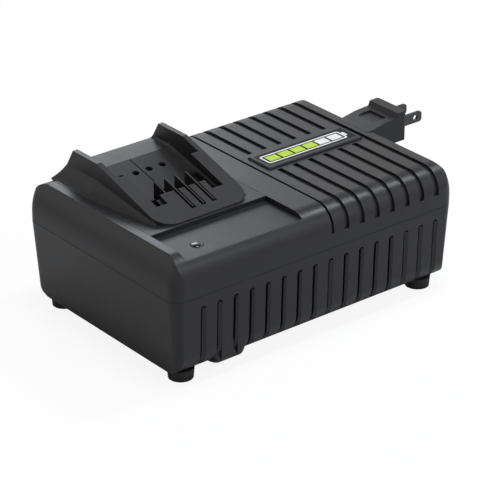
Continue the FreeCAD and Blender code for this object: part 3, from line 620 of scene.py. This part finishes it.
# Circuit board
# Glass laminate with copper tracks under green lacquer, paler where copper runs. It is
# screwed to posts in the lower shell, and the open vents show its edge.
def circuit_lacquer():
    """Tracks: cells of a coarse brick pattern, lighter where copper lies under the lacquer."""
    material, tree, shader = new_material("board_lacquer")
    place = tree.nodes.new("ShaderNodeTexCoord").outputs["Object"]
    brick = tree.nodes.new("ShaderNodeTexBrick")
    brick.inputs["Scale"].default_value = 90.0
    brick.inputs["Mortar Size"].default_value = 0.06
    brick.inputs["Color1"].default_value = (0.012, 0.095, 0.030, 1)
    brick.inputs["Color2"].default_value = (0.016, 0.120, 0.040, 1)
    brick.inputs["Mortar"].default_value = (0.006, 0.050, 0.018, 1)
    tree.links.new(place, brick.inputs["Vector"])
    tree.links.new(brick.outputs["Color"], shader.inputs["Base Color"])
    tree.links.new(spread(tree, noise(tree, place, 300.0), 0.3, 0.7, 0.25, 0.40),
                   shader.inputs["Roughness"])
    return material


dress(circuit_lacquer(), "circuit_board")

# Transformer and choke
# Two pressed ferrite halves round a bobbin whose winding is wrapped in yellow tape, and
# a choke wound from enamelled copper wire. Both are soldered to the board.
ferrite = moulded("ferrite_ceramic", (0.020, 0.020, 0.022, 1), 0.55, grain=900.0, tone=0.3)
dress(ferrite, "transformer_core")
tape = moulded("winding_tape", (0.52, 0.36, 0.05, 1), 0.38, grain=400.0, tone=0.2)
dress(tape, "transformer_winding")
dress(metal("choke_copper", (0.55, 0.22, 0.08, 1), 0.30, (1.0, 1.0, 0.1)), "line_choke")

# Heat sinks
# Extruded aluminium combs, cut to length and pinned to the board, that stand in the air
# stream from the vents.
dress(metal("heat_sink_alloy", (0.60, 0.61, 0.62, 1), 0.38, (1.0, 1.0, 0.04)),
      "primary_heatsink", "output_heatsink")

# Board parts
# Transistor and rectifier in moulded epoxy, capacitors in shrunk blue sleeves and a
# pale tube fuse, all soldered to the board.
epoxy = moulded("epoxy_package", (0.012, 0.012, 0.013, 1), 0.5, grain=1500.0)
dress(epoxy, "power_transistor", "output_rectifier")
sleeve = moulded("capacitor_sleeve", (0.010, 0.016, 0.050, 1), 0.28, grain=300.0, coat=0.3)
dress(sleeve, "main_capacitor", "output_capacitors")
dress(moulded("fuse_tube", (0.62, 0.60, 0.55, 1), 0.2, grain=500.0), "line_fuse")

# Floor and backdrop
# A pale paper floor that runs far back, so that the object stands in plain white. What
# the camera sees of it is mostly a glow of its own, which lights nothing.
FLOOR_REACH = 6.0
floor_mesh = bpy.data.meshes.new("floor")
floor_mesh.from_pydata([(-FLOOR_REACH, -FLOOR_REACH, 0), (FLOOR_REACH, -FLOOR_REACH, 0),
                        (FLOOR_REACH, FLOOR_REACH, 0), (-FLOOR_REACH, FLOOR_REACH, 0)],
                       [], [(0, 1, 2, 3)])
floor = bpy.data.objects.new("floor", floor_mesh)
bpy.context.scene.collection.objects.link(floor)
paper, tree, shader = new_material("floor_paper")
shader.inputs["Base Color"].default_value = (0.70, 0.70, 0.70, 1)
shader.inputs["Roughness"].default_value = 0.9
shader.inputs["Specular IOR Level"].default_value = 0.1
glow = tree.nodes.new("ShaderNodeEmission")
glow.inputs["Color"].default_value = (1, 1, 1, 1)
glow.inputs["Strength"].default_value = 1.05
path = tree.nodes.new("ShaderNodeLightPath")
share = tree.nodes.new("ShaderNodeMath")
share.operation = "MULTIPLY"
share.inputs[1].default_value = 0.85
tree.links.new(path.outputs["Is Camera Ray"], share.inputs[0])
blend = tree.nodes.new("ShaderNodeMixShader")
tree.links.new(share.outputs[0], blend.inputs["Fac"])
tree.links.new(shader.outputs[0], blend.inputs[1])
tree.links.new(glow.outputs[0], blend.inputs[2])
tree.links.new(blend.outputs[0], tree.nodes["Material Output"].inputs["Surface"])
floor_mesh.materials.append(paper)

# Studio light
# A white wall all round under a dim ceiling, a soft lamp above and one in front, a
# small one at the right for the rims of the ribs, and a low one behind that puts a
# sheen on the level faces.
world = bpy.data.worlds.new("surround")
bpy.context.scene.world = world
world.use_nodes = True
tree = world.node_tree
sky = tree.nodes["Background"]
sky.inputs["Color"].default_value = (1, 1, 1, 1)
path = tree.nodes.new("ShaderNodeLightPath")
seen = tree.nodes.new("ShaderNodeMath")
seen.operation = "MAXIMUM"
tree.links.new(path.outputs["Is Camera Ray"], seen.inputs[0])
tree.links.new(path.outputs["Is Glossy Ray"], seen.inputs[1])
clear = tree.nodes.new("ShaderNodeMath")
clear.operation = "MAXIMUM"
tree.links.new(seen.outputs[0], clear.inputs[0])
tree.links.new(path.outputs["Is Transmission Ray"], clear.inputs[1])
WORLD_LIGHT = 0.5
CEILING = 0.10
shown = spread(tree, clear.outputs[0], 0.0, 1.0, WORLD_LIGHT, 1.0)
direction = tree.nodes.new("ShaderNodeTexCoord").outputs["Generated"]
upward = tree.nodes.new("ShaderNodeSeparateXYZ")
tree.links.new(direction, upward.inputs[0])
wall_to_ceiling = spread(tree, upward.outputs["Z"], 0.42, 0.78, 1.0, CEILING)
level = tree.nodes.new("ShaderNodeMath")
level.operation = "MULTIPLY"
tree.links.new(shown, level.inputs[0])
tree.links.new(wall_to_ceiling, level.inputs[1])
tree.links.new(level.outputs[0], sky.inputs["Strength"])


def softbox(name, place, target, size, power, tint=(1, 1, 1)):
    """A square area lamp at a place, turned to its target."""
    lamp = bpy.data.lights.new(name, "AREA")
    lamp.shape = "SQUARE"
    lamp.size = size
    lamp.energy = power
    lamp.color = tint
    holder = bpy.data.objects.new(name, lamp)
    holder.location = place
    holder.rotation_euler = (Vector(target) - Vector(place)).to_track_quat("-Z", "Y").to_euler()
    bpy.context.scene.collection.objects.link(holder)


COOL = (0.90, 0.94, 1.0)
softbox("overhead", (0.00, -0.10, 1.40), (0, 0, 0.04), 0.45, 9)
softbox("front_strip", (0.45, -1.20, 1.05), (0, 0, 0.05), 0.30, 5, COOL)
softbox("rim_strip", (0.78, -0.16, 1.14), (0.05, -0.04, 0.09), 0.16, 5.0, COOL)
softbox("back_glow", (0.25, 0.59, 0.46), (-0.10, -0.05, 0.07), 0.26, 1.05, COOL)

# Camera
# The place, turn, tilt and focal length that lay the casing's straight edges and its
# feet over those in the photograph.
CAMERA_PLACE = (-0.793468, -0.959007, 0.644972)
CAMERA_TURN = 38.888
CAMERA_TILT = 26.393
CAMERA_FOCAL_PIXELS = 2510.14
FRAME_PIXELS = 480
camera = bpy.data.cameras.new("camera")
camera.sensor_width = 36
camera.lens = CAMERA_FOCAL_PIXELS / FRAME_PIXELS * camera.sensor_width
holder = bpy.data.objects.new("camera", camera)
holder.location = CAMERA_PLACE
holder.rotation_euler = (math.radians(90 - CAMERA_TILT), 0, math.radians(-CAMERA_TURN))
bpy.context.scene.collection.objects.link(holder)
bpy.context.scene.camera = holder
bpy.context.scene.view_settings.view_transform = "Standard"
